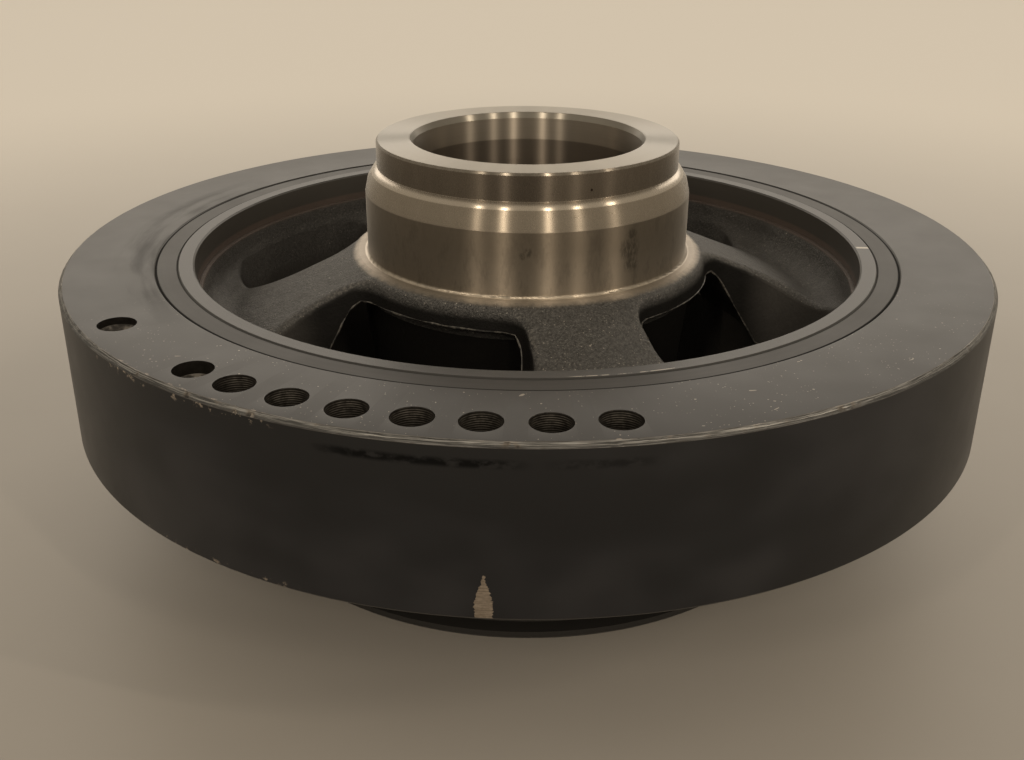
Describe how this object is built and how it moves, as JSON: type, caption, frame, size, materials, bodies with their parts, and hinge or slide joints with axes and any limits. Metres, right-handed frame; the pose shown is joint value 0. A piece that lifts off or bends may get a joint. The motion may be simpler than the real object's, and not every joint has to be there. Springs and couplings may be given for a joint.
{
  "type": "harmonic balancer",
  "caption": "Crankshaft harmonic balancer: spoked cast hub with seal land and multi-rib belt pulley, rubber ring and outer inertia ring.",
  "frame": {"origin": "on the crankshaft axis, in the pulley's end face, on which the balancer stands", "axes": "+Z along the crankshaft axis, from the pulley towards the hub's nose; the drilled balance holes lie towards -Y"},
  "size_m": [0.216, 0.216, 0.0925],
  "materials": {
    "hub_casting": "machined nose, black painted casting",
    "rubber": "matte, painted over at its end face",
    "ring_paint": "satin black paint, worn to metal at the upper edge"
  },
  "bodies": {
    "root": {"hub": "hub_casting", "rubber_ring": "rubber", "inertia_ring": "ring_paint"}
  },
  "joints": []
}
